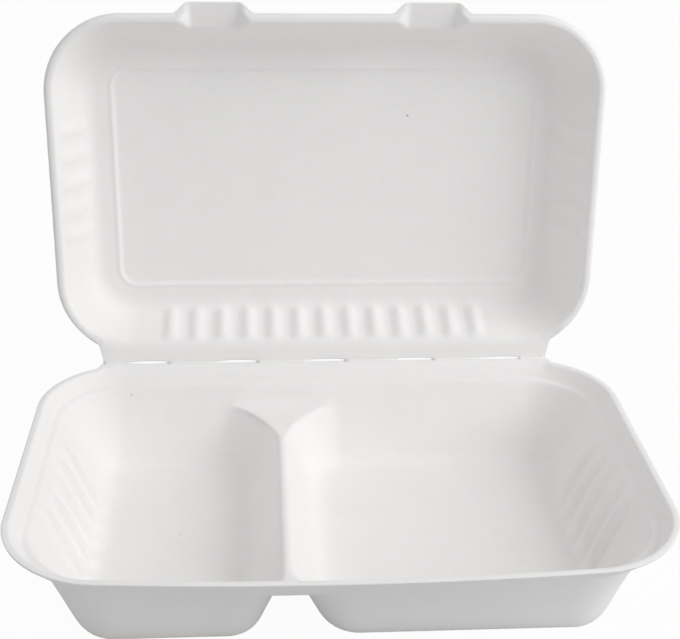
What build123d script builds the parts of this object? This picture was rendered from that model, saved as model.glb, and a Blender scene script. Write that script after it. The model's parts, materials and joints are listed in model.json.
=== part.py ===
"""A hinged lunch box of moulded sugar cane fibre, standing open: a two-compartment tray and its lid."""
import os
from math import cos, hypot, radians, sin, tan

from build123d import *

# Sheet, in millimetres
WALL = 0.8
RUNNING_GAP = 0.3

# Tray rim: plan outline, whose front edge bows outwards
TRAY_LENGTH = 248.0
TRAY_WIDTH = 157.0
TRAY_HEIGHT = 42.0
TRAY_CORNER = 36.0
FRONT_BOW = 6.2

# Tray rim section, from the outer edge inwards: rolled lip, sloping collar, ledge
LIP_DROP = 1.3
LIP_CREST = (0.9, 2.5)
LIP_ROUND = 1.2
COLLAR_REACH = 6.7
COLLAR_ROUND = 0.9
LEDGE_REACH = 8.7
LEDGE_DEPTH = 6.6
MOUTH_FRONT_SHIFT = 2.0

# Tray floors and the low wall between them, measured inside
LEFT_FLOOR_LEFT = -94.0
LEFT_FLOOR_RIGHT = -33.5
RIGHT_FLOOR_LEFT = -8.0
RIGHT_FLOOR_RIGHT = 92.5
FLOOR_FRONT = -61.0
FLOOR_BACK = 58.5
FLOOR_CORNER = 13.0
FLOOR_INNER_CORNER = 10.0
FLOOR_ROUND = 12.0
DIVIDER_X = -21.3
DIVIDER_TOP = 26.5
DIVIDER_THICK = 3.0
DIVIDER_FRONT_FLARE = 15.0
DIVIDER_BACK_FLARE = 27.0

# Fold between tray and lid, with its row of slits
FOLD_BEHIND_RIM = 1.7
FOLD_LENGTH = 203.0
TRAY_NECK_ROUND = 1.0
LID_NECK_ROUND = 4.5
SLIT_LENGTH = 16.0
SLIT_OPEN = 1.3
SLIT_PITCH = 40.0
SLITS = 5

# Lid: plan outline, rolled lip, walls and top panel, measured inside
LID_LENGTH = 237.3
LID_WIDTH = 149.4
LID_CORNER = 33.3
LID_FROM_FOLD = 4.1
LID_OPEN_ANGLE = 95.9
LID_EDGE_TURN = 0.9
LID_LIP_RISE = 1.6
LID_LIP_CREST = (1.3, 3.5)
LID_LIP_ROUND = 1.2
LID_LIP_ROOT = 1.2
LID_CREST_FADE = 12.0
LID_MOUTH_REACH = 4.5
LID_DEPTH = 22.0
LID_DRAFT = 25.0
LID_COVE = 10.0
PANEL_MARGIN = 24.4
PANEL_CORNER = 7.0
PANEL_RISE = 0.8

# Two channelled tabs on the lid's free edge
TAB_X = (-48.0, 43.0)
TAB_REACH = 4.0
TAB_TIP_WIDTH = 24.0
TAB_ROOT_WIDTH = 33.5
CHANNEL_DEPTH = 4.5
CHANNEL_FLOOR_WIDTH = 18.5
CHANNEL_LENGTH = 14.0
CHANNEL_ROUND = 1.5

# Stiffening ribs, pressed in from outside
LID_RIB_PITCH = 11.6
TRAY_RIB_PITCH = 12.3
RIB_RADIUS = 4.2
RIB_HEIGHT = 1.1
LID_BACK_RIBS = 13
LID_SIDE_RIBS = 5
LID_RIB_ENDS = (1.5, 20.5)
TRAY_SIDE_RIBS = 5
TRAY_RIBS_Y = 1.0
TRAY_RIB_ENDS = (32.5, 6.0)

# Levels and runs that follow from the sizes above
LEDGE_Z = TRAY_HEIGHT - LEDGE_DEPTH
FLOOR_Z = WALL
MOUTH_RIGHT = TRAY_LENGTH / 2 - LEDGE_REACH
MOUTH_BACK = TRAY_WIDTH / 2 - LEDGE_REACH
MOUTH_FRONT = -MOUTH_BACK - MOUTH_FRONT_SHIFT
MOUTH_CORNER = TRAY_CORNER - LEDGE_REACH
CUT_PAST = 5.0

# The origin is on the table, in the middle of the ground that the open box covers
FOLD_BACK = TRAY_WIDTH / 2 + FOLD_BEHIND_RIM
PANEL_FAR_EDGE = LID_FROM_FOLD + LID_WIDTH - PANEL_MARGIN
LID_TURN = radians(LID_OPEN_ANGLE)
LID_BACK = FOLD_BACK - PANEL_FAR_EDGE * cos(LID_TURN) + (LID_DEPTH + PANEL_RISE + WALL) * sin(LID_TURN)
TRAY_Y = -(LID_BACK - TRAY_WIDTH / 2 - FRONT_BOW) / 2
TRAY_PLANE = Plane(origin=(0, TRAY_Y, 0))

# The lid's plane lies in the fold: its local -Y runs to the free edge and its local +Z to the lid's top
FOLD_Y = TRAY_Y + FOLD_BACK
FOLD_Z = TRAY_HEIGHT + RUNNING_GAP / 2
LID_PLANE = Plane(origin=(0, FOLD_Y, FOLD_Z), x_dir=(1, 0, 0), z_dir=(0, sin(LID_TURN), cos(LID_TURN)))
LID_SHEET = RUNNING_GAP / 2
TAB_TIP_Y = -LID_FROM_FOLD - LID_WIDTH - TAB_REACH
LID_UP = Axis(LID_PLANE.origin, LID_PLANE.z_dir)
LID_CENTRE = -LID_FROM_FOLD - LID_WIDTH / 2


def share(top, bottom, level):
    """The value between a wall's top and its foot at a level between the ledge and the floor."""
    return bottom + (top - bottom) * (level - FLOOR_Z) / (LEDGE_Z - FLOOR_Z)


def rim_outline(plane, inset=0.0):
    """The tray's plan outline on a plane, drawn inwards by an inset."""
    side, edge = TRAY_LENGTH / 2, TRAY_WIDTH / 2
    with BuildSketch(plane) as outline:
        with BuildLine():
            Polyline((-side, -edge), (-side, edge), (side, edge), (side, -edge))
            ThreePointArc((-side, -edge), (0, -edge - FRONT_BOW), (side, -edge))
        make_face()
        fillet(outline.vertices(), TRAY_CORNER)
        if inset:
            offset(amount=-inset)
    return outline.sketch


def lid_plan(inset=0.0, mode=Mode.ADD):
    """The lid's plan form, drawn inwards by an inset, in the sketch that is open."""
    with Locations((0, LID_CENTRE)):
        RectangleRounded(LID_LENGTH - 2 * inset, LID_WIDTH - 2 * inset, LID_CORNER - inset, mode=mode)


def lid_outline(level, inset=0.0):
    """The lid's plan outline at a level of the lid, drawn inwards by an inset."""
    with BuildSketch(LID_PLANE.offset(level)) as outline:
        lid_plan(inset)
    return outline.sketch


def basin_outline(level, left, right, front, back, left_rounds, right_rounds):
    """A four-sided outline at a level of the tray. Each end has its own front and back corner radius."""
    with BuildSketch(TRAY_PLANE.offset(level)) as outline:
        with Locations(((left + right) / 2, (front + back) / 2)):
            Rectangle(right - left, back - front)
        for end, (front_round, back_round) in ((0, left_rounds), (-1, right_rounds)):
            fillet(outline.vertices().group_by(Axis.X)[end].sort_by(Axis.Y)[0], front_round)
            fillet(outline.vertices().group_by(Axis.X)[end].sort_by(Axis.Y)[-1], back_round)
    return outline.sketch


def rib_bar(length, radius):
    """A round-ended bar along Z, which presses one rib into a wall."""
    with BuildPart() as bar:
        with BuildSketch(Plane.XZ):
            SlotCenterToCenter(length, 2 * radius, rotation=90)
            split(bisect_by=Plane.YZ)
        revolve(axis=Axis.Z)
    return bar.part


def rib_line(high, low):
    """The two ends of a rib's bar, outside a wall that runs between two (outward, up) points."""
    high, low = Vector(*high), Vector(*low)
    along = (high - low).normalized()
    outward = Vector(along.Y, -along.X) * (RIB_RADIUS + WALL - RIB_HEIGHT)
    return high + outward, low + outward


def press_ribs(base, high, low, grow):
    """Press ribs into the open form with bars whose ends are listed in pairs, in a base plane."""
    planes = []
    for upper, lower in zip(high, low):
        upper, lower = base.from_local_coords(upper), base.from_local_coords(lower)
        planes.append(Plane(origin=(upper + lower) * 0.5, z_dir=upper - lower))
    length = (Vector(*high[0]) - Vector(*low[0])).length
    bar = rib_bar(length, RIB_RADIUS + WALL - grow)
    with Locations(*planes):
        add(bar, mode=Mode.SUBTRACT)


def row(count, pitch, middle=0.0):
    """Evenly spaced places about a middle."""
    return [middle + pitch * (place - (count - 1) / 2) for place in range(count)]


def skin_run(grow, lean, height):
    """How far a wall that leans out over its height moves sideways when its sheet grows outwards."""
    return grow * (hypot(lean, height) - lean) / height


def tray_basin(grow):
    """The tray below its ledge: as it is inside, or grown by the sheet to its outside."""
    depth = LEDGE_Z - FLOOR_Z
    left_run = skin_run(grow, MOUTH_RIGHT + LEFT_FLOOR_LEFT, depth)
    right_run = skin_run(grow, MOUTH_RIGHT - RIGHT_FLOOR_RIGHT, depth)
    front_run = skin_run(grow, FLOOR_FRONT - MOUTH_FRONT, depth)
    back_run = skin_run(grow, MOUTH_BACK - FLOOR_BACK, depth)
    flank_lean = (RIGHT_FLOOR_LEFT - LEFT_FLOOR_RIGHT - DIVIDER_THICK) / 2
    flank_run = skin_run(grow, flank_lean, DIVIDER_TOP - FLOOR_Z)
    top, waist, floor = LEDGE_Z - grow, DIVIDER_TOP - grow, FLOOR_Z - grow

    mouth_left, mouth_right = -MOUTH_RIGHT - left_run, MOUTH_RIGHT + right_run
    mouth_y = (MOUTH_FRONT - front_run, MOUTH_BACK + back_run)
    waist_left = share(-MOUTH_RIGHT, LEFT_FLOOR_LEFT, DIVIDER_TOP) - left_run
    waist_right = share(MOUTH_RIGHT, RIGHT_FLOOR_RIGHT, DIVIDER_TOP) + right_run
    waist_front = share(MOUTH_FRONT, FLOOR_FRONT, DIVIDER_TOP) - front_run
    waist_y = (waist_front, share(MOUTH_BACK, FLOOR_BACK, DIVIDER_TOP) + back_run)
    floor_y = (FLOOR_FRONT - front_run, FLOOR_BACK + back_run)
    left_flank = DIVIDER_X - DIVIDER_THICK / 2 + flank_run
    right_flank = DIVIDER_X + DIVIDER_THICK / 2 - flank_run
    mouth_rounds = [MOUTH_CORNER + right_run] * 2
    waist_rounds = [share(MOUTH_CORNER, FLOOR_CORNER, DIVIDER_TOP) + right_run] * 2
    floor_rounds = [FLOOR_CORNER + right_run] * 2
    inner_rounds = [FLOOR_INNER_CORNER + flank_run] * 2
    flares = (DIVIDER_FRONT_FLARE + flank_run, DIVIDER_BACK_FLARE + flank_run)

    left_x = (LEFT_FLOOR_LEFT - left_run, LEFT_FLOOR_RIGHT + flank_run)
    right_x = (RIGHT_FLOOR_LEFT - flank_run, RIGHT_FLOOR_RIGHT + right_run)
    mouth = basin_outline(top, mouth_left, mouth_right, *mouth_y, mouth_rounds, mouth_rounds)
    waist_all = basin_outline(waist, waist_left, waist_right, *waist_y, waist_rounds, waist_rounds)
    left_top = basin_outline(waist, waist_left, left_flank, *waist_y, waist_rounds, flares)
    right_top = basin_outline(waist, right_flank, waist_right, *waist_y, flares, waist_rounds)
    left_floor = basin_outline(floor, *left_x, *floor_y, floor_rounds, inner_rounds)
    right_floor = basin_outline(floor, *right_x, *floor_y, inner_rounds, floor_rounds)
    with BuildPart() as form:
        for upper, lower in ((mouth, waist_all), (left_top, left_floor), (right_top, right_floor)):
            loft([upper.face(), lower.face()], ruled=True)
        fillet(form.edges().group_by(Axis.Z)[0], FLOOR_ROUND + grow)
        for side, floor_end in ((-1, -LEFT_FLOOR_LEFT), (1, RIGHT_FLOOR_RIGHT)):
            walls = [(share(MOUTH_RIGHT, floor_end, level), level) for level in TRAY_RIB_ENDS]
            high, low = rib_line(*walls)
            places = row(TRAY_SIDE_RIBS, TRAY_RIB_PITCH, TRAY_RIBS_Y)
            press_ribs(
                TRAY_PLANE,
                [(side * high.X, place, high.Y) for place in places],
                [(side * low.X, place, low.Y) for place in places],
                grow,
            )
    return form.part


def skin_of(path_points, rounds, side, section_plane, path):
    """A sheet whose section follows points with rounded bends, swept along a closed path."""
    with BuildPart() as skin:
        with BuildSketch(section_plane) as section:
            with BuildLine():
                FilletPolyline(*path_points, radius=rounds)
                offset(amount=WALL, side=side)
            make_face()
        sweep(sections=section.sketch, path=path)
    return skin.part


def tray_rim():
    """The rolled lip, the sloping collar and the start of the ledge, all round the tray."""
    points = (
        (0, TRAY_HEIGHT - LIP_DROP),
        (LIP_CREST[0], TRAY_HEIGHT),
        (LIP_CREST[1], TRAY_HEIGHT),
        (COLLAR_REACH, LEDGE_Z),
        (LEDGE_REACH, LEDGE_Z),
    )
    across = Plane(origin=(0, TRAY_Y + TRAY_WIDTH / 2, 0), x_dir=(0, -1, 0), z_dir=(-1, 0, 0))
    path = rim_outline(TRAY_PLANE).face().outer_wire()
    return skin_of(points, (LIP_ROUND, LIP_ROUND, COLLAR_ROUND), Side.RIGHT, across, path)


def lid_rim():
    """The rolled lip all round the lid."""
    root = LID_MOUTH_REACH + LID_LIP_ROOT * tan(radians(LID_DRAFT)) - WALL / 2
    points = (
        (0, LID_EDGE_TURN),
        (LID_LIP_CREST[0], -LID_LIP_RISE),
        (LID_LIP_CREST[1], -LID_LIP_RISE),
        (root, LID_LIP_ROOT),
    )
    edge = LID_PLANE.from_local_coords((0, -LID_FROM_FOLD, 0))
    across = Plane(origin=edge, x_dir=-LID_PLANE.y_dir, z_dir=LID_PLANE.x_dir)
    path = lid_outline(0).face().outer_wire()
    return skin_of(points, (LID_LIP_ROUND, LID_LIP_ROUND), Side.LEFT, across, path)


def slits(plane, fold):
    """The row of slits along the fold, as bars to cut away."""
    with BuildPart() as bars:
        with BuildSketch(plane):
            with Locations(*[(place, fold) for place in row(SLITS, SLIT_PITCH)]):
                SlotOverall(SLIT_LENGTH, SLIT_OPEN)
        extrude(amount=CUT_PAST, both=True)
    return bars.part


def tray_strip():
    """The tray's half of the fold, which carries the rim back to the slits."""
    strip_edge = FOLD_BACK - RUNNING_GAP / 2
    on_rim = TRAY_WIDTH / 2 - LIP_CREST[1]
    with BuildPart() as strip:
        with BuildSketch(TRAY_PLANE.offset(TRAY_HEIGHT - WALL)) as outline:
            with Locations((0, (on_rim + strip_edge) / 2)):
                Rectangle(FOLD_LENGTH, strip_edge - on_rim)
            with Locations((0, TRAY_WIDTH / 2 - LIP_CREST[1] / 2)):
                Rectangle(FOLD_LENGTH + 4 * TRAY_NECK_ROUND, LIP_CREST[1])
            necks = outline.vertices().filter_by(lambda corner: abs(abs(corner.X) - FOLD_LENGTH / 2) < 0.01)
            fillet(necks.group_by(Axis.Y)[0], TRAY_NECK_ROUND)
        extrude(amount=WALL)
    return strip.part


def lid_form(grow):
    """The lid's hollow as it is inside, or grown by the sheet to its outside."""
    slope = radians(LID_DRAFT)
    run = grow / cos(slope) - grow * tan(slope)
    mouth = lid_outline(LID_SHEET, LID_MOUTH_REACH - run)
    floor = lid_outline(LID_DEPTH + grow, LID_MOUTH_REACH + LID_DEPTH * tan(slope) - run)
    with BuildPart() as form:
        loft([mouth.face(), floor.face()], ruled=True)
        fillet(form.edges().group_by(LID_UP)[-1], LID_COVE + grow)
        with BuildSketch(LID_PLANE.offset(LID_DEPTH)):
            with Locations((0, LID_CENTRE)):
                length, width = LID_LENGTH - 2 * PANEL_MARGIN, LID_WIDTH - 2 * PANEL_MARGIN
                RectangleRounded(length + 2 * grow, width + 2 * grow, PANEL_CORNER + grow)
        extrude(amount=PANEL_RISE + grow)
        wall = [(-LID_MOUTH_REACH - depth * tan(slope), -depth) for depth in LID_RIB_ENDS]
        high, low = rib_line(*wall)
        back = row(LID_BACK_RIBS, LID_RIB_PITCH)
        press_ribs(
            LID_PLANE,
            [(place, high.X - LID_FROM_FOLD, -high.Y) for place in back],
            [(place, low.X - LID_FROM_FOLD, -low.Y) for place in back],
            grow,
        )
        sides = row(LID_SIDE_RIBS, LID_RIB_PITCH, LID_CENTRE)
        for side in (-1, 1):
            press_ribs(
                LID_PLANE,
                [(side * (LID_LENGTH / 2 + high.X), place, -high.Y) for place in sides],
                [(side * (LID_LENGTH / 2 + low.X), place, -low.Y) for place in sides],
                grow,
            )
    return form.part


def lid_strip():
    """The lid's half of the fold, and the flat edge that it runs into."""
    strip_edge = -RUNNING_GAP / 2
    inner_edge = -LID_FROM_FOLD - LID_MOUTH_REACH - LID_NECK_ROUND
    middle = (0, (strip_edge + inner_edge) / 2)
    with BuildSketch(LID_PLANE.offset(LID_SHEET)) as outline:
        lid_plan()
        with Locations(middle):
            Rectangle(FOLD_LENGTH, strip_edge - inner_edge)
        necks = outline.vertices().filter_by(lambda corner: abs(abs(corner.X) - FOLD_LENGTH / 2) < 0.01)
        fillet(necks.group_by(Axis.Y)[0], LID_NECK_ROUND)
        with Locations(middle):
            Rectangle(FOLD_LENGTH + 3 * LID_NECK_ROUND, strip_edge - inner_edge, mode=Mode.INTERSECT)
    with BuildPart() as strip:
        extrude(outline.sketch, amount=WALL, dir=LID_PLANE.z_dir)
    return strip.part


def lip_fade():
    """Where the lid's lip sinks into its strip: what fills the lip there, and what is cut from under it."""
    half = FOLD_LENGTH / 2
    start = half - LID_CREST_FADE
    with BuildPart() as fill:
        with BuildSketch(LID_PLANE.offset(-LID_LIP_RISE)):
            lid_plan(LID_LIP_CREST[0])
            lid_plan(LID_LIP_CREST[1], Mode.SUBTRACT)
            with Locations((0, -LID_FROM_FOLD)):
                Rectangle(FOLD_LENGTH, 2 * LID_CORNER, mode=Mode.INTERSECT)
        extrude(amount=LID_LIP_RISE + LID_SHEET)
    edge = LID_PLANE.from_local_coords((0, -LID_FROM_FOLD + CUT_PAST, 0))
    with BuildPart() as block:
        with BuildSketch(Plane(origin=edge, x_dir=LID_PLANE.x_dir, z_dir=-LID_PLANE.y_dir)):
            Polygon(
                (start, LID_SHEET),
                (half, -LID_LIP_RISE),
                (half, -CUT_PAST),
                (-half, -CUT_PAST),
                (-half, -LID_LIP_RISE),
                (-start, LID_SHEET),
                align=None,
            )
        extrude(amount=LID_CORNER)
    return fill.part, block.part


def channels(grow, foot, length):
    """Bars of the tabs' channel section above a foot level, hollow or grown by the sheet to the outside."""
    lean = (TAB_TIP_WIDTH - CHANNEL_FLOOR_WIDTH) / 2 / CHANNEL_DEPTH
    mouth = TAB_TIP_WIDTH / 2 + grow * (1 + lean**2) ** 0.5
    top = CHANNEL_DEPTH + grow
    foot_half, top_half = mouth - lean * foot, mouth - lean * top
    inner_end = LID_PLANE.from_local_coords((0, TAB_TIP_Y + CHANNEL_LENGTH, 0))
    with BuildPart() as bars:
        with BuildSketch(Plane(origin=inner_end, x_dir=LID_PLANE.x_dir, z_dir=-LID_PLANE.y_dir)) as section:
            with Locations(*[(place, 0) for place in TAB_X]):
                Polygon((-foot_half, foot), (foot_half, foot), (top_half, top), (-top_half, top), align=None)
            fillet(section.vertices().group_by(Axis.Y)[-1], CHANNEL_ROUND + grow)
        extrude(amount=length)
    return bars.part


def tab_flanges():
    """The flat edges of the tabs, one sheet thick."""
    lip_edge = -LID_FROM_FOLD - LID_WIDTH
    with BuildPart() as flanges:
        with BuildSketch(LID_PLANE.offset(LID_EDGE_TURN)) as plan:
            with Locations(*[(place, 0) for place in TAB_X]):
                Polygon(
                    (-TAB_ROOT_WIDTH / 2, lip_edge + WALL),
                    (-TAB_ROOT_WIDTH / 2, lip_edge),
                    (-TAB_TIP_WIDTH / 2, TAB_TIP_Y),
                    (TAB_TIP_WIDTH / 2, TAB_TIP_Y),
                    (TAB_ROOT_WIDTH / 2, lip_edge),
                    (TAB_ROOT_WIDTH / 2, lip_edge + WALL),
                    align=None,
                )
        extrude(amount=WALL)
    return flanges.part


# Each of the two pieces is its outside form and edges, less its inside form
ledge = rim_outline(TRAY_PLANE.offset(LEDGE_Z), COLLAR_REACH - COLLAR_ROUND / 2)
with BuildPart() as tray:
    add(tray_basin(WALL))
    extrude(ledge, amount=-WALL)
    add(tray_basin(0), mode=Mode.SUBTRACT)
    add(tray_rim())
    add(tray_strip())
    add(slits(TRAY_PLANE.offset(TRAY_HEIGHT), FOLD_BACK), mode=Mode.SUBTRACT)

lip_fill, lip_cut = lip_fade()
with BuildPart() as lid:
    add(lid_rim())
    add(lip_fill)
    add(lip_cut, mode=Mode.SUBTRACT)
    add(lid_form(WALL))
    add(lid_strip())
    add(tab_flanges())
    add(channels(WALL, LID_EDGE_TURN, CHANNEL_LENGTH))
    add(lid_form(0), mode=Mode.SUBTRACT)
    add(channels(0, -CUT_PAST, CHANNEL_LENGTH + CUT_PAST), mode=Mode.SUBTRACT)
    add(slits(LID_PLANE, 0), mode=Mode.SUBTRACT)

tray.part.label = "tray"
lid.part.label = "lid"

os.makedirs("parts", exist_ok=True)
export_step(tray.part, "parts/tray.step")
export_step(lid.part, "parts/lid.step")
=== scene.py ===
"""A lunch box of moulded sugar cane fibre, standing open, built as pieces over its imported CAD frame."""

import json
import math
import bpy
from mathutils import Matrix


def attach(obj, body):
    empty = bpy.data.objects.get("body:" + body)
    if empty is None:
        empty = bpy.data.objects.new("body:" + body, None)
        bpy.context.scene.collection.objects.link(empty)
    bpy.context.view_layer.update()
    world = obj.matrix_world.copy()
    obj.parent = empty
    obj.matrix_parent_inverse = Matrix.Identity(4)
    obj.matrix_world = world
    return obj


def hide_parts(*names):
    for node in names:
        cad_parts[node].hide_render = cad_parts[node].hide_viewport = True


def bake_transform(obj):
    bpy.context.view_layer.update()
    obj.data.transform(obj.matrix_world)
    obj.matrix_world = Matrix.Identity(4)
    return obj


bl_info = {
    "name": "Moulded fibre lunch box",
    "version": (1, 0, 0),
    "blender": (4, 5, 0),
    "location": "View3D > Sidebar > Lunch Box",
    "description": "Builds the tray, the lid and the perforated fold of a moulded fibre lunch box",
    "category": "Add Mesh",
}

import bpy
import numpy as np
from mathutils import Matrix, Vector

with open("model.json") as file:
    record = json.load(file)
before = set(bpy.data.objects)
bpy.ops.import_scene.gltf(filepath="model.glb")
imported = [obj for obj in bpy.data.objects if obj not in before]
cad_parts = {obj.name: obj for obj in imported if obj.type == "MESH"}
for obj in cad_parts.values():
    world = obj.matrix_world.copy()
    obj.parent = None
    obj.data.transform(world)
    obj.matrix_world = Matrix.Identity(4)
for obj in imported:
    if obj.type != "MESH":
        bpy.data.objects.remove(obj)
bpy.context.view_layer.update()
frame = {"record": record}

# Millimetres to metres
MM = 0.001

# The fold's axis, from the frame, how far it lies behind the tray's rim, half its length, and how far
# the two strips stay from it at the middle of a slit and at a land
FOLD = Vector(frame["record"]["behaviour"]["joints"][0]["pos_m"]) / MM
FOLD_BEHIND_RIM = 1.7
FOLD_HALF = 101.5
FOLD_GAP, LAND_GAP = 0.6, 0.12

# The moulded sheet's thickness, and how far ribs stand out of it in the tray and the lid
SHEET = 0.8
TRAY_RIB_HEIGHT, LID_RIB_HEIGHT = 3.3, 1.8

# Tray rim: plan outline, the front's bow and sag, the ledge, and the section, as the inset from the
# edge and the height, with the rounds of its corners
TRAY_LENGTH, TRAY_WIDTH, TRAY_CORNER = 248.0, 157.0, 36.0
TRAY_MIDDLE = FOLD.y - FOLD_BEHIND_RIM - TRAY_WIDTH / 2
FRONT_BOW, FRONT_BOW_SPAN, FRONT_BOW_REACH = 5.8, (16.0, 40.0), 60.0
FRONT_SAG = 0.5
LEDGE_REACH, LEDGE_HEIGHT = 8.7, 35.4
RIM_SECTION = (
    (0.0, 41.9),
    (0.6, 42.05),
    (2.6, 42.05),
    (6.6, LEDGE_HEIGHT),
    (LEDGE_REACH, LEDGE_HEIGHT),
)
RIM_ROUNDS = (0.9, 1.3, 1.7)

# The rim's other section, along the fold, how far from the middle it starts and is full, and how far
# in from the edge the strip at the fold reaches
BACK_SECTION = ((0.0, 41.9), (3.0, 41.2), (7.4, 35.9), (LEDGE_REACH, LEDGE_HEIGHT))
BACK_ROUNDS = (6.0, 2.0)
BACK_BLEND = (106.0, 88.0)
STRIP_REACH = 5.0

# Tray basin, from the tray's middle: left, right, front and back sides, the radii of the front left,
# front right, back left and back right corners, how far the two back ones run along their sides, and
# how round those two are: 2 for an ellipse and 1 for a straight cut
FLOOR_HEIGHT = 0.8
MOUTH = (-115.3, 115.3, -69.8, 69.8, 33.0, 33.0, 27.3, 27.3, 27.3, 27.3, 2.0, 2.0)
BASIN_FOOT = (-97.5, 98.0, -61.0, 58.5, 13.0, 13.0, 7.0, 7.0, 7.0, 7.0, 2.0, 2.0)
LEFT_FOOT = (-97.5, -33.5, -61.0, 58.5, 13.0, 9.0, 7.0, 16.0, 7.0, 20.0, 2.0, 2.0)
RIGHT_FOOT = (-6.5, 98.0, -61.0, 58.5, 11.0, 13.0, 14.0, 7.0, 17.0, 7.0, 2.0, 2.0)
SMALLEST_ROUND, LEAST_BULGE, ELLIPSE = 4.0, 1.25, 2.0

# The search for a basin's height: the shares of the way from foot to top between which it looks, and
# how many times it halves them
LOWEST_SHARE, HIGHEST_SHARE, HALVINGS = -0.95, 2.0, 24

# The round between the floors and the walls, the low wall, its flares at the front and the back, the
# pockets' outer corners at the back, and how softly these surfaces meet
FOOT_LEAN, FOOT_ROUND = math.radians(26.0), 10.5
DIVIDER_X, DIVIDER_HALF, DIVIDER_TOP = -21.3, 1.8, 26.9
FRONT_FLARES = (13.0, 18.0)
BACK_FLARE, BACK_FLARE_RUN, BACK_FLARE_BULGE = 23.0, 29.0, 1.4
POCKET_BACK_ROUND = 21.5
DIVIDER_SOFT, FLARE_SOFT, MOUTH_SOFT = 3.0, 4.0, 2.2

# Tray ribs, on the two side walls: the heights at which they start, stand full, begin to fade and
# end, their slants on the left and the right, and how far out they start and are full
TRAY_RIBS, TRAY_RIB_PITCH, TRAY_RIBS_Y = 5, 12.3, 1.0
TRAY_RIB_SPAN = (0.9, 5.0, 17.0, 34.5)
TRAY_RIB_SLANTS = (0.27, 0.23)
TRAY_RIB_SIDES = (84.0, 92.0)

# Lid: plan outline, section as the inset from the edge and the depth, and how far it stands open
LID_LENGTH, LID_WIDTH, LID_CORNER = 237.3, 148.9, 33.3
LID_FROM_FOLD = 4.1
LID_OPEN = math.radians(95.9)
LID_DRAFT = math.radians(25.0)
LID_DEPTH = 22.0
LID_MOUTH = 4.5
LID_CREST = 1.6
LID_SECTION = (
    (0.0, 1.0),
    (1.0, -LID_CREST),
    (3.6, -LID_CREST),
    (LID_MOUTH + LID_DEPTH * math.tan(LID_DRAFT), LID_DEPTH),
    (24.2, LID_DEPTH),
    (25.4, LID_DEPTH - 0.6),
    (26.9, LID_DEPTH + 0.7),
    (32.0, LID_DEPTH + 0.7),
)
LID_ROUNDS = (1.0, 1.6, 10.0, 1.5, 0.8, 1.5)

# The lid's flat strip along the fold, how far from the middle it starts and is full, and how far in
# from the edge the strip and the channels reach
STRIP_DEPTH, STRIP_SOFT = 0.15, 3.0
LID_STRIP_BLEND = (110.0, 101.0)
LID_EDGE_REACH = 12.0

# Lid ribs, on the hinge side and on the two ends: the depths at which they start, stand full, begin
# to fade and end, half a rib's width, and the share of the height that the end ribs have
LID_RIB_PITCH = 11.58
LID_BACK_RIBS, LID_BACK_RIBS_X = 13, -0.75
LID_SIDE_RIBS, LID_SIDE_RIBS_V = 5, 80.0
LID_RIB_SPAN = (0.2, 5.5, 17.0, 22.6)
RIB_HALF = 4.9
SIDE_RIB_SHARE = 0.55

# Tabs on the lid's free edge, and the channel behind each
TAB_X = (-47.4, 43.3)
TAB_REACH, TAB_ROOT_REACH = 4.2, 6.0
TAB_TIP_HALF, TAB_ROOT_HALF = 10.8, 17.2
CHANNEL_DEPTH, CHANNEL_SLOPE = 3.0, 0.42
CHANNEL_HALF, CHANNEL_LEAN = 10.0, 0.61
CHANNEL_SOFT = 2.6

# Fold: slits, the lands between them, and how far on each side of the axis a land bends
SLITS, SLIT_PITCH, SLIT_LENGTH = 5, 40.0, 16.0
LAND_END, LAND_RADIUS, LAND_OVERLAP, LAND_SUNK = 1.0, 0.75, 1.1, 0.05
LAND_POINTS = 9

# Meshes: the steps between points along the rim's and the lid's sections, along their sides and
# straight edges, the number of points in a section's round and of steps round a plan's corner, and
# the rings inside the last inset
RIM_STEP, BACK_STEP, LID_STEP = 0.42, 0.1, 0.62
ROUND_POINTS = 9
SIDE_STEP = 1.45
TRAY_CORNER_STEPS, LID_CORNER_STEPS = 26, 24
TRAY_EDGE_BOUNDS, TRAY_EDGE_STEPS = (-44, -28, -16, 0), (2.0, 1.2, 0.7, 1.2, 2.0)
LID_EDGE_STEP = 1.12
TRAY_INNER_RINGS, LID_INNER_RINGS = 62, 4

# A mesh's middle loop: how far out it keeps its width, the share of its width past that, the share
# of its depth, and the share of its length by which it comes to a point at its ends
TRAY_MIDDLE_SIZE, LID_MIDDLE_SIZE = (48.0, 0.42, 0.06), (60.0, 0.85, 0.6)
MIDDLE_POINT = 0.05

# Fibre: scale, detail and roughness of the noises for clouds, flecks, felt and unevenness, the shares
# of the second ones, how rough and glossy the fibre is, and the strength and depth of its bumps
CLOUD_NOISE, FLECK_NOISE = (45.0, 3.0, 0.6), (420.0, 4.0, 0.65)
FELT_NOISE, UNEVEN_NOISE = (900.0, 5.0, 0.7), (160.0, 3.0, 0.55)
FLECK_SHARE, UNEVEN_SHARE = 0.8, 0.6
FIBRE_ROUGHNESS, FIBRE_GLOSS = 0.86, 0.3
BUMP_STRENGTH, BUMP_DEPTH = 0.35, 0.25

# Dark specks in the fibre: place, radius and how dark
SPECKS = (
    (36.4, 97.65, 146.2, 0.42, 0.55),
    (-87.6, 52.85, 32.0, 0.55, 0.2),
    (-63.9, -11.0, 0.8, 0.5, 0.2),
)

# Camera, as fitted to the photograph: place from the tray's middle, turns in degrees and lens
CAMERA_PLACE = (-30.25, -428.09, 303.57)
CAMERA_YAW, CAMERA_PITCH, CAMERA_ROLL = 3.86, 26.4, 0.98
CAMERA_LENS, CAMERA_SENSOR, CAMERA_SHIFT = 66.69, 36.0, (0.0061, 0.0348)

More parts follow.
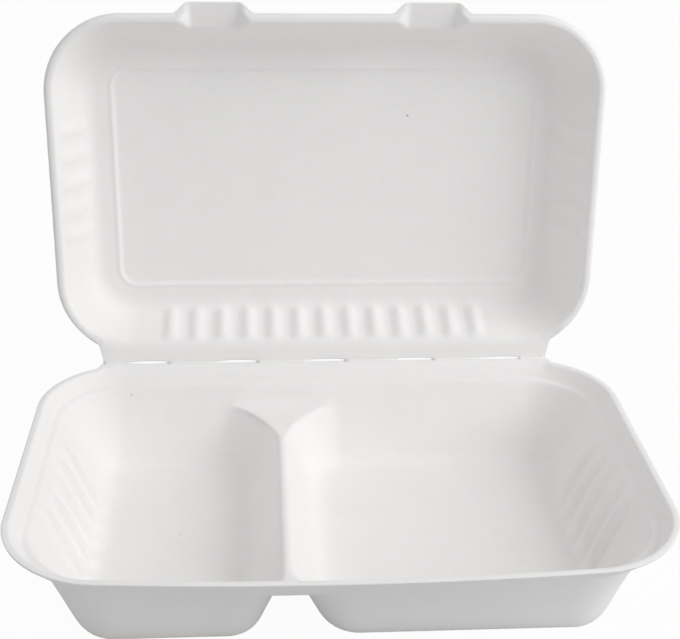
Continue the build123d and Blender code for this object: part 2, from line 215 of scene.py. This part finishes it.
# Stage, in metres: the floor, the world's light, and each lamp's place, aim, size and power
WHITE = (1.0, 1.0, 1.0, 1.0)
FLOOR_HALF, FLOOR_DROP = 4.0, 0.0002
FLOOR_GREY, FLOOR_GLOW_SHARE = (0.7, 0.7, 0.7, 1.0), 0.96
ROOM_LIGHT = 0.56
LAMPS = (
    ("right_softbox", (1.05, -0.5, 0.85), (0, 0, 0.06), 0.9, 8.7),
    ("top_softbox", (0.0, -0.3, 1.6), (0, 0, 0.05), 1.4, 0.6),
)


def smooth_max(first, second, soft):
    """The larger of two heights, rounded over where they are closer than a softness."""
    near = np.clip(soft - np.abs(first - second), 0.0, None) / soft
    return np.maximum(first, second) + near * near * soft / 4


def smooth_min(first, second, soft):
    """The smaller of two heights, rounded over where they are closer than a softness."""
    return -smooth_max(-first, -second, soft)


def ease(value, start, end):
    """0 at the start, 1 at the end, eased between and level outside."""
    part = np.clip((value - start) / (end - start), 0.0, 1.0)
    return part * part * (3 - 2 * part)


def rounded_section(corners, radii, step):
    """Points about a step apart along straight runs whose inner corners are rounded to their radii."""
    corners = [np.array(corner, float) for corner in corners]
    path = [corners[0]]
    for before, corner, after, radius in zip(corners, corners[1:], corners[2:], radii):
        inward, outward = before - corner, after - corner
        room = min(np.linalg.norm(inward), np.linalg.norm(outward)) * 0.5
        inward, outward = inward / np.linalg.norm(inward), outward / np.linalg.norm(outward)
        half = math.acos(float(np.clip(inward @ outward, -1, 1))) / 2
        reach = min(radius / math.tan(half), room)
        for part in np.linspace(0, 1, ROUND_POINTS):
            bend = (1 - part) ** 2 * (corner + inward * reach) + part**2 * (corner + outward * reach)
            path.append(bend + 2 * part * (1 - part) * corner)
    path = np.array(path + [corners[-1]])
    along = np.concatenate([[0], np.cumsum(np.hypot(*np.diff(path, axis=0).T))])
    places = np.linspace(0, along[-1], int(along[-1] / step) + 1)
    return np.column_stack([np.interp(places, along, path[:, 0]), np.interp(places, along, path[:, 1])])


def spread(bounds, steps):
    """Places from the first bound to the last, with their own spacing between each pair of bounds."""
    places = [bounds[0]]
    for start, end, step in zip(bounds, bounds[1:], steps):
        count = max(1, round((end - start) / step))
        places += list(np.linspace(start, end, count + 1)[1:])
    return np.array(places)


def plan_loop(length, width, corner, edge_places, side_step, corner_steps):
    """Points round a rounded rectangle and their inward directions, from the middle of the left side."""
    across, deep = length / 2, width / 2
    rows = round((deep - corner) / side_step)
    half_side = (np.arange(rows) + 0.5) * (deep - corner) / rows
    quarter = [(math.cos(turn), math.sin(turn)) for turn in np.linspace(0, math.pi / 2, corner_steps + 1)]
    points, inward = [], []
    for y in half_side:
        points.append((-across, -y))
        inward.append((1, 0))
    for cos, sin in quarter:
        points.append((-across + corner - corner * cos, -deep + corner - corner * sin))
        inward.append((cos, sin))
    for x in edge_places[1:-1]:
        points.append((x, -deep))
        inward.append((0, 1))
    for cos, sin in quarter:
        points.append((across - corner + corner * sin, -deep + corner - corner * cos))
        inward.append((-sin, cos))
    for y in half_side[::-1]:
        points.append((across, -y))
        inward.append((-1, 0))
    points, inward = np.array(points), np.array(inward)
    flip = np.array((1, -1))
    return np.vstack([points, points[::-1] * flip]), np.vstack([inward, inward[::-1] * flip])


def plan_rings(loop, inward, insets, middle_size, inner_rings):
    """Rings of plan points: the loop moved in by each inset, then drawn in to a smaller middle loop."""
    rings = [loop + inward * inset for inset in insets]
    edge = rings[-1]
    across = np.abs(edge[:, 0])
    across = across - np.clip(across - middle_size[0], 0, None) * (1 - middle_size[1])
    across = across * (1 - MIDDLE_POINT * np.abs(edge[:, 1]) / edge[:, 1].max())
    middle = np.column_stack([np.sign(edge[:, 0]) * across, edge[:, 1] * middle_size[2]])
    for part in np.linspace(0, 1, inner_rings + 1)[1:]:
        rings.append(edge + (middle - edge) * part)
    return np.array(rings)


def sheet_object(name, points, thickness):
    """A mesh from rings of points, closed across its middle loop and thickened away from its face side."""
    rings, count = points.shape[:2]
    faces = []
    for ring in range(rings - 1):
        first, second = ring * count, (ring + 1) * count
        for place in range(count):
            following = (place + 1) % count
            faces.append((first + place, first + following, second + following, second + place))
    last = (rings - 1) * count
    for place in range(count // 2 - 1):
        faces.append((last + place, last + place + 1, last + count - 2 - place, last + count - 1 - place))
    return thick_mesh(name, points.reshape(-1, 3) * MM, faces, thickness)


def thick_mesh(name, vertices, faces, thickness):
    """A smooth-shaded object of the faces, thickened behind them by a Solidify modifier."""
    mesh = bpy.data.meshes.new(name)
    mesh.from_pydata([tuple(vertex) for vertex in vertices], [], faces)
    mesh.polygons.foreach_set("use_smooth", [True] * len(mesh.polygons))
    mesh.update()
    piece = bpy.data.objects.new(name, mesh)
    bpy.context.scene.collection.objects.link(piece)
    solidify = piece.modifiers.new("sheet", "SOLIDIFY")
    solidify.thickness = thickness * MM
    solidify.offset = -1.0
    solidify.use_even_offset = True
    solidify.use_quality_normals = True
    return piece


def basin_height(x, y, foot, top, top_height):
    """The height above the floor at which a basin, drawn from its foot to its top, passes each place."""
    low, high = np.full(x.shape, LOWEST_SHARE), np.full(x.shape, HIGHEST_SHARE)
    for _ in range(HALVINGS):
        share = (low + high) / 2
        outline = [start + (end - start) * share for start, end in zip(foot, top)]
        left, right, front, back = outline[:4]
        front_left, front_right, back_left, back_right = outline[4:8]
        left_run, right_run, left_bulge, right_bulge = outline[8:]
        on_right, at_back = x > (left + right) / 2, y > (front + back) / 2
        at_front = np.where(on_right, front_right, front_left)
        across = np.where(at_back, np.where(on_right, back_right, back_left), at_front)
        along = np.where(at_back, np.where(on_right, right_run, left_run), at_front)
        across, along = np.maximum(across, SMALLEST_ROUND), np.maximum(along, SMALLEST_ROUND)
        over_x = (np.abs(x - (left + right) / 2) - (right - left) / 2) / across + 1
        over_y = (np.abs(y - (front + back) / 2) - (back - front) / 2) / along + 1
        back_bulge = np.maximum(np.where(on_right, right_bulge, left_bulge), LEAST_BULGE)
        bulge = np.where(at_back, back_bulge, ELLIPSE)
        outside = np.clip(over_x, 0, None) ** bulge + np.clip(over_y, 0, None) ** bulge > 1
        low, high = np.where(outside, share, low), np.where(outside, high, share)
    return (top_height - FLOOR_HEIGHT) * share


def rounded_foot(rise):
    """The height of a leaning wall that is rounded where its rise above the floor passes nought."""
    reach = FOOT_ROUND * math.tan((math.pi / 2 - FOOT_LEAN) / 2)
    turn = 1 - math.sin(FOOT_LEAN)
    place = rise * math.tan(FOOT_LEAN) / reach
    bend = (1 - np.sqrt(1 - turn * (1 + np.clip(place, -1, 1 - turn)))) / turn
    return FLOOR_HEIGHT + np.where(place > 1 - turn, rise, reach * math.cos(FOOT_LEAN) * bend**2)


def rib_row(count, pitch, middle):
    """Evenly spaced places about a middle."""
    return [middle + pitch * (place - (count - 1) / 2) for place in range(count)]


def rib_profile(along, places):
    """How far a row of ribs stands out, from 0 to 1, along the wall that they are on."""
    nearest = np.min([np.abs(along - place) for place in places], axis=0)
    return 0.5 + 0.5 * np.cos(np.clip(nearest / RIB_HALF, 0, 1) * math.pi)


def span_of(height, span):
    """1 along the middle of a rib and 0 past its ends."""
    return ease(height, span[0], span[1]) * (1 - ease(height, span[2], span[3]))


def tray_heights(x, y, rib_height):
    """The inner surface of the tray's two compartments, their low wall and their ribs."""
    share = (DIVIDER_TOP - FLOOR_HEIGHT) / (LEDGE_HEIGHT - FLOOR_HEIGHT)
    waist = [foot + (mouth - foot) * share for foot, mouth in zip(BASIN_FOOT, MOUTH)]
    outer_left, outer_right, front, back, outer_round = waist[:5]
    back_round = POCKET_BACK_ROUND
    left_sides = (outer_left, DIVIDER_X - DIVIDER_HALF, front, back)
    left_rounds = (outer_round, FRONT_FLARES[0], back_round, BACK_FLARE, back_round, BACK_FLARE_RUN)
    left_top = (*left_sides, *left_rounds, ELLIPSE, BACK_FLARE_BULGE)
    right_sides = (DIVIDER_X + DIVIDER_HALF, outer_right, front, back)
    right_rounds = (FRONT_FLARES[1], outer_round, BACK_FLARE, back_round, BACK_FLARE_RUN, back_round)
    right_top = (*right_sides, *right_rounds, BACK_FLARE_BULGE, ELLIPSE)
    whole = basin_height(x, y, BASIN_FOOT, MOUTH, LEDGE_HEIGHT) + FLOOR_HEIGHT
    left = rounded_foot(basin_height(x, y, LEFT_FOOT, left_top, DIVIDER_TOP))
    right = rounded_foot(basin_height(x, y, RIGHT_FOOT, right_top, DIVIDER_TOP))
    pockets = smooth_min(left, right, DIVIDER_SOFT)
    height = smooth_min(pockets, smooth_max(whole, DIVIDER_TOP, FLARE_SOFT), DIVIDER_SOFT)
    slanted = y + np.where(x < 0, *TRAY_RIB_SLANTS) * (LEDGE_HEIGHT / 2 - height)
    ribs = rib_profile(slanted, rib_row(TRAY_RIBS, TRAY_RIB_PITCH, TRAY_RIBS_Y))
    on_sides = ease(np.abs(x), *TRAY_RIB_SIDES)
    run = MOUTH[1] - BASIN_FOOT[1]
    steep = math.hypot(LEDGE_HEIGHT - FLOOR_HEIGHT, run) / run
    return height + rib_height * steep * ribs * on_sides * span_of(height, TRAY_RIB_SPAN)


def fold_gap(x):
    """How far a strip's cut edge stays from the fold's axis: most at the middle of each slit."""
    nearest = np.min([np.abs(x - slit) for slit in rib_row(SLITS, SLIT_PITCH, 0.0)], axis=0)
    opening = np.sqrt(np.clip(1 - (nearest / SLIT_LENGTH * 2) ** 2, 0, None))
    return LAND_GAP + (FOLD_GAP - LAND_GAP) * opening


def tray_points(rib_height):
    """All points of the tray's inner surface, ring by ring, in the row frame."""
    crest = rounded_section(RIM_SECTION, RIM_ROUNDS, RIM_STEP)
    slope = rounded_section(BACK_SECTION, BACK_ROUNDS, BACK_STEP)
    edge = TRAY_LENGTH / 2 - TRAY_CORNER
    places = spread((-edge, *TRAY_EDGE_BOUNDS, edge), TRAY_EDGE_STEPS)
    loop, inward = plan_loop(TRAY_LENGTH, TRAY_WIDTH, TRAY_CORNER, places, SIDE_STEP, TRAY_CORNER_STEPS)
    plan = plan_rings(loop, inward, crest[:, 0], TRAY_MIDDLE_SIZE, TRAY_INNER_RINGS)
    inset = np.concatenate([crest[:, 0], np.full(TRAY_INNER_RINGS, LEDGE_REACH)])[:, None]
    rim = np.interp(inset, crest[:, 0], crest[:, 1])
    x, y = plan[..., 0], plan[..., 1]

    at_back = (loop[:, 1] > 0) * ease(np.abs(loop[:, 0]), *BACK_BLEND)
    rim = rim + (np.interp(inset, slope[:, 0], slope[:, 1]) - rim) * at_back
    strip = (loop[:, 1] > 0) & (np.abs(loop[:, 0]) < FOLD_HALF)
    reach = np.where(strip, TRAY_WIDTH / 2 + FOLD_BEHIND_RIM - fold_gap(loop[:, 0]) - loop[:, 1], 0.0)
    y = y + reach * np.clip(1 - inset / STRIP_REACH, 0, 1)

    height = smooth_min(tray_heights(x, y, rib_height), rim, MOUTH_SOFT)
    bowed = (1 - (x / TRAY_LENGTH * 2) ** 2) * ease(-y, 0.0, FRONT_BOW_REACH)
    bowed = bowed * ease(height, *FRONT_BOW_SPAN)
    return np.stack([x, y - FRONT_BOW * bowed + TRAY_MIDDLE, height - FRONT_SAG * bowed], axis=-1)


def lid_to_row(x, along, depth):
    """Lid places, as x, the distance from the fold and the depth, in the row frame."""
    cos, sin = math.cos(LID_OPEN), math.sin(LID_OPEN)
    y, z = FOLD.y - along * cos + depth * sin, FOLD.z + along * sin + depth * cos
    return np.stack([x + FOLD.x, y, z], axis=-1)


def lid_points(rib_height):
    """All points of the lid's inner surface, ring by ring, in the row frame."""
    section = rounded_section(LID_SECTION, LID_ROUNDS, LID_STEP)
    edge = LID_LENGTH / 2 - LID_CORNER
    places = spread((-edge, edge), (LID_EDGE_STEP,))
    loop, inward = plan_loop(LID_LENGTH, LID_WIDTH, LID_CORNER, places, SIDE_STEP, LID_CORNER_STEPS)
    plan = plan_rings(loop, inward, section[:, 0], LID_MIDDLE_SIZE, LID_INNER_RINGS)
    inset = np.concatenate([section[:, 0], np.full(LID_INNER_RINGS, section[-1, 0])])[:, None]
    depth = np.interp(inset, section[:, 0], section[:, 1]) + 0 * plan[..., 0]
    x, along = plan[..., 0], plan[..., 1] + LID_FROM_FOLD + LID_WIDTH / 2

    near_fold, free_edge, at_edge = loop[:, 1] < 0, loop[:, 1] > 0, inset < LID_EDGE_REACH
    wall = (inset - LID_MOUTH) / math.tan(LID_DRAFT)
    strip_depth = smooth_max(wall, STRIP_DEPTH, STRIP_SOFT)
    at_fold = near_fold * ease(np.abs(loop[:, 0]), *LID_STRIP_BLEND) * at_edge
    depth = depth + (strip_depth - depth) * at_fold
    strip = near_fold & (np.abs(loop[:, 0]) < FOLD_HALF)
    reach = np.where(strip, loop[:, 1] + LID_WIDTH / 2 + LID_FROM_FOLD - fold_gap(loop[:, 0]), 0)
    along = along - reach * np.clip(1 - inset / STRIP_REACH, 0, 1)

    beside_tab = np.min([np.abs(loop[:, 0] - tab) for tab in TAB_X], axis=0)
    tab = ease(beside_tab, TAB_ROOT_HALF, TAB_TIP_HALF) * free_edge
    drawn_in = inset - TAB_REACH * tab * np.clip(1 - inset / TAB_ROOT_REACH, 0, 1)
    along = along + (inset - drawn_in)
    flange = np.interp(drawn_in, section[:, 0], section[:, 1])
    depth = np.where(tab > 0, flange, depth)
    channel = CHANNEL_DEPTH + CHANNEL_SLOPE * drawn_in
    channel = channel - np.clip(beside_tab - CHANNEL_HALF, 0, None) / CHANNEL_LEAN
    depth = np.where(free_edge & at_edge, smooth_max(depth, channel, CHANNEL_SOFT), depth)

    span = span_of(depth, LID_RIB_SPAN)
    back = rib_profile(x, rib_row(LID_BACK_RIBS, LID_RIB_PITCH, LID_BACK_RIBS_X))
    back = back * near_fold * (np.abs(loop[:, 0]) < LID_LENGTH / 2 - LID_CORNER)
    ends = rib_profile(along, rib_row(LID_SIDE_RIBS, LID_RIB_PITCH, LID_SIDE_RIBS_V))
    ends = ends * (np.abs(loop[:, 0]) > LID_LENGTH / 2 - 1)
    out = rib_height * span * (back + SIDE_RIB_SHARE * ends)
    x = x + out * math.cos(LID_DRAFT) * inward[:, 0]
    along = along + out * math.cos(LID_DRAFT) * inward[:, 1]
    return lid_to_row(x, along, depth - out * math.sin(LID_DRAFT))


def land_piece(name, start, end):
    """One land of the fold: the sheet between two slits, bent from the tray's strip up to the lid's."""
    turn = math.pi - LID_OPEN
    reach = LAND_RADIUS * math.tan(turn / 2)
    tip = LAND_GAP + LAND_OVERLAP
    section = [(-LAND_GAP - LAND_OVERLAP, 0.0), (-reach, 0.0)]
    for angle in np.linspace(0, turn, LAND_POINTS)[1:]:
        ahead, below = LAND_RADIUS * math.sin(angle), LAND_RADIUS * math.cos(angle)
        section.append((-reach + ahead, LAND_RADIUS - below))
    section.append((-math.cos(LID_OPEN) * tip, math.sin(LID_OPEN) * tip))
    across = np.linspace(start, end, LAND_POINTS)
    middle = FOLD + Vector((0, STRIP_DEPTH + LAND_SUNK, -STRIP_DEPTH))
    vertices = [(x, middle.y + y, middle.z + z) for y, z in section for x in across]
    count = len(across)
    faces = []
    for row in range(len(section) - 1):
        for place in range(count - 1):
            corner = row * count + place
            faces.append((corner, corner + 1, corner + count + 1, corner + count))
    return thick_mesh(name, np.array(vertices) * MM, faces, SHEET)


def fibre_group():
    """The look of pressed fibre: soft clouds of shade and a fine felted height."""
    group = bpy.data.node_groups.new("pressed_fibre", "ShaderNodeTree")
    for name, value in (("Clouds", 0.03), ("Felt", 0.5)):
        socket = group.interface.new_socket(name, in_out="INPUT", socket_type="NodeSocketFloat")
        socket.default_value = value
    group.interface.new_socket("Shade", in_out="OUTPUT", socket_type="NodeSocketFloat")
    group.interface.new_socket("Height", in_out="OUTPUT", socket_type="NodeSocketFloat")
    nodes, links = group.nodes, group.links
    entry, leave = nodes.new("NodeGroupInput"), nodes.new("NodeGroupOutput")
    place = nodes.new("ShaderNodeTexCoord")

    def noise(scale, detail, roughness):
        texture = nodes.new("ShaderNodeTexNoise")
        texture.inputs["Scale"].default_value = scale
        texture.inputs["Detail"].default_value = detail
        texture.inputs["Roughness"].default_value = roughness
        links.new(place.outputs["Object"], texture.inputs["Vector"])
        return texture.outputs["Fac"]

    def maths(operation, first, second):
        node = nodes.new("ShaderNodeMath")
        node.operation = operation
        for socket, value in zip(node.inputs, (first, second)):
            if isinstance(value, (int, float)):
                socket.default_value = value
            else:
                links.new(value, socket)
        return node.outputs[0]

    clouds = maths("SUBTRACT", noise(*CLOUD_NOISE), 0.5)
    flecks = maths("SUBTRACT", noise(*FLECK_NOISE), 0.5)
    mixed = maths("ADD", clouds, maths("MULTIPLY", flecks, FLECK_SHARE))
    shade = maths("ADD", maths("MULTIPLY", mixed, entry.outputs["Clouds"]), 1.0)
    for *centre, radius, darkness in SPECKS:
        away = nodes.new("ShaderNodeVectorMath")
        away.operation = "DISTANCE"
        away.inputs[1].default_value = Vector(centre) * MM
        links.new(place.outputs["Object"], away.inputs[0])
        spot = maths("LESS_THAN", away.outputs["Value"], radius * MM)
        shade = maths("SUBTRACT", shade, maths("MULTIPLY", spot, darkness))
    links.new(shade, leave.inputs["Shade"])
    felt = maths("MULTIPLY", noise(*FELT_NOISE), entry.outputs["Felt"])
    uneven = maths("MULTIPLY", noise(*UNEVEN_NOISE), UNEVEN_SHARE)
    links.new(maths("ADD", felt, uneven), leave.inputs["Height"])
    return group


def pulp_material(finish):
    """Moulded fibre: nearly white, dull, with clouds of shade and a felted surface."""
    material = bpy.data.materials.new("moulded_pulp")
    material.use_nodes = True
    nodes, links = material.node_tree.nodes, material.node_tree.links
    surface = nodes["Principled BSDF"]
    surface.inputs["Roughness"].default_value = FIBRE_ROUGHNESS
    surface.inputs["Specular IOR Level"].default_value = FIBRE_GLOSS
    fibre = nodes.new("ShaderNodeGroup")
    fibre.node_tree = bpy.data.node_groups.get("pressed_fibre") or fibre_group()
    fibre.inputs["Clouds"].default_value = finish.clouds
    fibre.inputs["Felt"].default_value = finish.felt
    tint = nodes.new("ShaderNodeMix")
    tint.data_type = "RGBA"
    tint.blend_type = "MULTIPLY"
    tint.inputs["Factor"].default_value = 1.0
    tint.inputs["A"].default_value = (*finish.colour, 1.0)
    links.new(fibre.outputs["Shade"], tint.inputs["B"])
    links.new(tint.outputs["Result"], surface.inputs["Base Color"])
    bump = nodes.new("ShaderNodeBump")
    bump.inputs["Strength"].default_value = BUMP_STRENGTH
    bump.inputs["Distance"].default_value = BUMP_DEPTH * MM
    links.new(fibre.outputs["Height"], bump.inputs["Height"])
    links.new(bump.outputs["Normal"], surface.inputs["Normal"])
    return material


def dress(piece, finish):
    """Gives a piece the box's one material."""
    piece.data.materials.append(bpy.data.materials.get("moulded_pulp") or pulp_material(finish))


class BoxSizes(bpy.types.PropertyGroup):
    """Sizes of the box that a user may change."""

    sheet: bpy.props.FloatProperty(
        name="Sheet", description="Thickness of the moulded sheet", default=SHEET * MM, unit="LENGTH"
    )
    tray_ribs: bpy.props.FloatProperty(
        name="Tray ribs",
        description="How far the ribs stand into the tray",
        default=TRAY_RIB_HEIGHT * MM,
        unit="LENGTH",
    )
    lid_ribs: bpy.props.FloatProperty(
        name="Lid ribs",
        description="How far the ribs stand into the lid",
        default=LID_RIB_HEIGHT * MM,
        unit="LENGTH",
    )


class BoxFinish(bpy.types.PropertyGroup):
    """Colour and texture of the fibre."""

    colour: bpy.props.FloatVectorProperty(
        name="Fibre colour",
        description="Colour of the pressed fibre",
        subtype="COLOR",
        default=(0.922, 0.913, 0.908),
    )
    clouds: bpy.props.FloatProperty(
        name="Clouds", description="Strength of the soft changes of shade", default=0.05, min=0, max=1
    )
    felt: bpy.props.FloatProperty(
        name="Felt", description="Strength of the fine felted surface", default=0.6, min=0, max=2
    )


class LUNCHBOX_OT_tray(bpy.types.Operator):
    """Build the tray: rim, ledge, two compartments, the low wall between them and the ribs"""

    bl_idname = "lunchbox.tray"
    bl_label = "Build Tray"

    def execute(self, context):
        sizes = context.scene.box_sizes
        points = tray_points(sizes.tray_ribs / MM)
        tray = sheet_object("tray_shell", points, sizes.sheet / MM)
        dress(tray, context.scene.box_finish)
        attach(tray, "tray")
        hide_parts("tray")
        return {"FINISHED"}


class LUNCHBOX_OT_lid(bpy.types.Operator):
    """Build the lid: rolled lip, ribbed walls, top panel and two channelled tabs"""

    bl_idname = "lunchbox.lid"
    bl_label = "Build Lid"

    def execute(self, context):
        sizes = context.scene.box_sizes
        lid = sheet_object("lid_shell", lid_points(sizes.lid_ribs / MM), sizes.sheet / MM)
        dress(lid, context.scene.box_finish)
        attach(lid, "lid")
        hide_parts("lid")
        return {"FINISHED"}


class LUNCHBOX_OT_fold(bpy.types.Operator):
    """Build the fold: the bent lands of sheet between the slits"""

    bl_idname = "lunchbox.fold"
    bl_label = "Build Fold"

    def execute(self, context):
        slits = rib_row(SLITS, SLIT_PITCH, 0.0)
        starts = [LAND_END - FOLD_HALF] + [slit + SLIT_LENGTH / 2 for slit in slits]
        ends = [slit - SLIT_LENGTH / 2 for slit in slits] + [FOLD_HALF - LAND_END]
        for number, (start, end) in enumerate(zip(starts, ends), 1):
            land = land_piece(f"fold_land_{number}", start, end)
            dress(land, context.scene.box_finish)
            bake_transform(land)
        return {"FINISHED"}


class LUNCHBOX_OT_stage(bpy.types.Operator):
    """Build the stage: pale floor, soft studio light and the camera"""

    bl_idname = "lunchbox.stage"
    bl_label = "Build Stage"

    def execute(self, context):
        build_floor()
        build_light()
        build_camera()
        return {"FINISHED"}


def seen_directly(nodes, links):
    """1 for rays that the camera, gloss or glass sees, and 0 for rays that light the object."""
    path = nodes.new("ShaderNodeLightPath")
    total = path.outputs["Is Camera Ray"]
    for name in ("Is Glossy Ray", "Is Transmission Ray"):
        both = nodes.new("ShaderNodeMath")
        both.operation = "MAXIMUM"
        links.new(total, both.inputs[0])
        links.new(path.outputs[name], both.inputs[1])
        total = both.outputs[0]
    return total


def build_floor():
    """A pale floor that looks white to the camera and keeps a faint shadow."""
    mesh = bpy.data.meshes.new("floor")
    corners = [(FLOOR_HALF * x, FLOOR_HALF * y, 0) for x, y in ((-1, -1), (1, -1), (1, 1), (-1, 1))]
    mesh.from_pydata(corners, [], [(0, 1, 2, 3)])
    floor = bpy.data.objects.new("floor", mesh)
    floor.location.z = -FLOOR_DROP
    bpy.context.scene.collection.objects.link(floor)
    material = bpy.data.materials.new("floor_white")
    material.use_nodes = True
    nodes, links = material.node_tree.nodes, material.node_tree.links
    nodes.clear()
    matt = nodes.new("ShaderNodeBsdfDiffuse")
    matt.inputs["Color"].default_value = FLOOR_GREY
    glow = nodes.new("ShaderNodeEmission")
    glow.inputs["Color"].default_value = WHITE
    share = nodes.new("ShaderNodeMath")
    share.operation = "MULTIPLY"
    share.inputs[1].default_value = FLOOR_GLOW_SHARE
    links.new(seen_directly(nodes, links), share.inputs[0])
    mix = nodes.new("ShaderNodeMixShader")
    links.new(share.outputs[0], mix.inputs["Fac"])
    links.new(matt.outputs[0], mix.inputs[1])
    links.new(glow.outputs[0], mix.inputs[2])
    leave = nodes.new("ShaderNodeOutputMaterial")
    links.new(mix.outputs[0], leave.inputs["Surface"])
    floor.data.materials.append(material)


def soft_lamp(name, place, aim, size, power):
    """A square area lamp at a place, turned towards an aim."""
    lamp = bpy.data.lights.new(name, "AREA")
    lamp.shape = "SQUARE"
    lamp.size = size
    lamp.energy = power
    holder = bpy.data.objects.new(name, lamp)
    holder.location = place
    holder.rotation_euler = (Vector(aim) - Vector(place)).to_track_quat("-Z", "Y").to_euler()
    bpy.context.scene.collection.objects.link(holder)


def build_light():
    """White surroundings and two soft lamps, the stronger one on the right."""
    world = bpy.data.worlds.new("studio")
    bpy.context.scene.world = world
    world.use_nodes = True
    nodes, links = world.node_tree.nodes, world.node_tree.links
    nodes.clear()
    room, backdrop = nodes.new("ShaderNodeBackground"), nodes.new("ShaderNodeBackground")
    room.inputs["Color"].default_value = WHITE
    room.inputs["Strength"].default_value = ROOM_LIGHT
    backdrop.inputs["Color"].default_value = WHITE
    backdrop.inputs["Strength"].default_value = 1.0
    mix = nodes.new("ShaderNodeMixShader")
    links.new(seen_directly(nodes, links), mix.inputs["Fac"])
    links.new(room.outputs[0], mix.inputs[1])
    links.new(backdrop.outputs[0], mix.inputs[2])
    leave = nodes.new("ShaderNodeOutputWorld")
    links.new(mix.outputs[0], leave.inputs["Surface"])
    for lamp in LAMPS:
        soft_lamp(*lamp)


def build_camera():
    """The camera at the photograph's viewing angle."""
    data = bpy.data.cameras.new("camera")
    data.lens = CAMERA_LENS
    data.sensor_width = CAMERA_SENSOR
    data.shift_x, data.shift_y = CAMERA_SHIFT
    yaw, pitch, roll = (math.radians(turn) for turn in (CAMERA_YAW, CAMERA_PITCH, CAMERA_ROLL))
    ahead = Vector((math.sin(yaw) * math.cos(pitch), math.cos(yaw) * math.cos(pitch), -math.sin(pitch)))
    level = Vector((math.cos(yaw), -math.sin(yaw), 0))
    above = level.cross(ahead)
    right = level * math.cos(roll) + above * math.sin(roll)
    up = above * math.cos(roll) - level * math.sin(roll)
    turned = Matrix((right, up, -ahead)).transposed().to_4x4()
    camera = bpy.data.objects.new("camera", data)
    place = (Vector(CAMERA_PLACE) + Vector((0, TRAY_MIDDLE, 0))) * MM
    camera.matrix_world = Matrix.Translation(place) @ turned
    bpy.context.scene.collection.objects.link(camera)
    bpy.context.scene.camera = camera
    bpy.context.scene.view_settings.view_transform = "Standard"


class LUNCHBOX_PT_panel(bpy.types.Panel):
    """Lists the box's sizes, finish and pieces"""

    bl_label = "Lunch Box"
    bl_idname = "LUNCHBOX_PT_panel"
    bl_space_type = "VIEW_3D"
    bl_region_type = "UI"
    bl_category = "Lunch Box"

    def draw(self, context):
        column = self.layout.column()
        for settings, names in (
            (context.scene.box_sizes, ("sheet", "tray_ribs", "lid_ribs")),
            (context.scene.box_finish, ("colour", "clouds", "felt")),
        ):
            for name in names:
                column.prop(settings, name)
        for operator in PIECES:
            column.operator(operator.bl_idname)


PIECES = (LUNCHBOX_OT_tray, LUNCHBOX_OT_lid, LUNCHBOX_OT_fold, LUNCHBOX_OT_stage)
CLASSES = (BoxSizes, BoxFinish, *PIECES, LUNCHBOX_PT_panel)


def register():
    """Registers the classes and the scene's settings."""
    for kind in CLASSES:
        bpy.utils.register_class(kind)
    bpy.types.Scene.box_sizes = bpy.props.PointerProperty(type=BoxSizes)
    bpy.types.Scene.box_finish = bpy.props.PointerProperty(type=BoxFinish)


def unregister():
    """Takes the scene's settings and the classes away."""
    del bpy.types.Scene.box_sizes
    del bpy.types.Scene.box_finish
    for kind in reversed(CLASSES):
        bpy.utils.unregister_class(kind)


def main():
    """Builds the pieces and the stage."""
    register()
    bpy.ops.lunchbox.tray()
    bpy.ops.lunchbox.lid()
    bpy.ops.lunchbox.fold()
    bpy.ops.lunchbox.stage()


if __name__ == "__main__":
    main()
